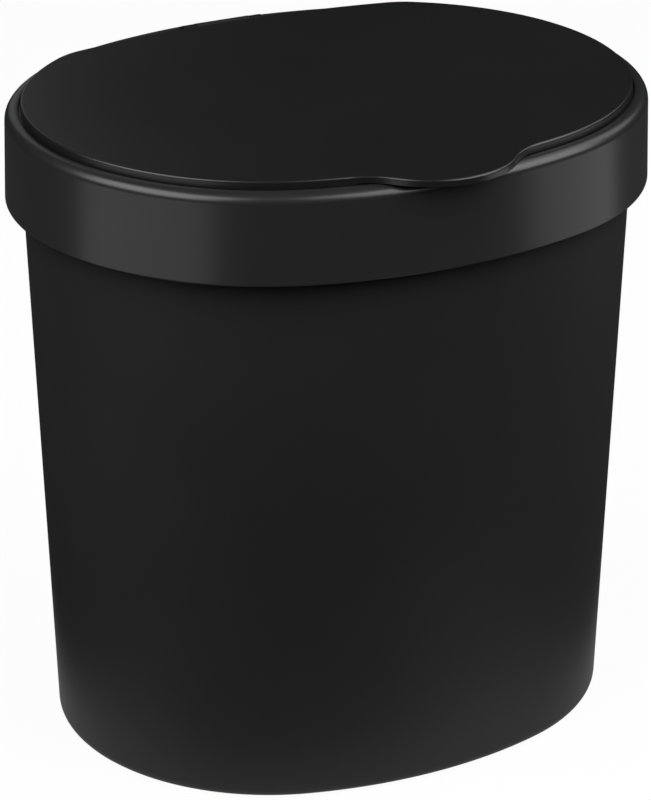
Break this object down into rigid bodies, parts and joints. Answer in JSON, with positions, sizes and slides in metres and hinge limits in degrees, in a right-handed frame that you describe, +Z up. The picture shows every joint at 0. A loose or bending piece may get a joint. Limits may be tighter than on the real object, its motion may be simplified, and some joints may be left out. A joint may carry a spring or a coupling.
{
  "type": "countertop trash can",
  "caption": "Small oval countertop bin: tapered bucket, overhanging rim collar that lifts off to hold a bag, and a flat flap lid hinged at the back with a front lift tab.",
  "frame": {"origin": "middle of the foot ring, on the surface that the can stands on", "axes": "+Z up, -Y towards the front with the lift tab, +X to the right seen from the front"},
  "size_m": [0.1824, 0.1568, 0.185],
  "materials": {
    "bucket_plastic": "matte black polypropylene",
    "collar_plastic": "satin black polypropylene",
    "lid_plastic": "satin black polypropylene",
    "pin_steel": "drawn wire"
  },
  "bodies": {
    "bucket": {"bucket": "bucket_plastic"},
    "collar": {"rim_collar": "collar_plastic"},
    "lid": {"lid_flap": "lid_plastic", "hinge_pin": "pin_steel"}
  },
  "joints": [
    {"name": "collar_lift", "type": "slide", "parent": "bucket", "child": "collar", "axis": [0, 0, 1], "range_m": [0, 0.04]},
    {"name": "lid_hinge", "type": "hinge", "parent": "collar", "child": "lid", "pos_m": [0, 0.0675, 0.182], "axis": [-1, 0, 0], "range_deg": [0, 125]}
  ]
}
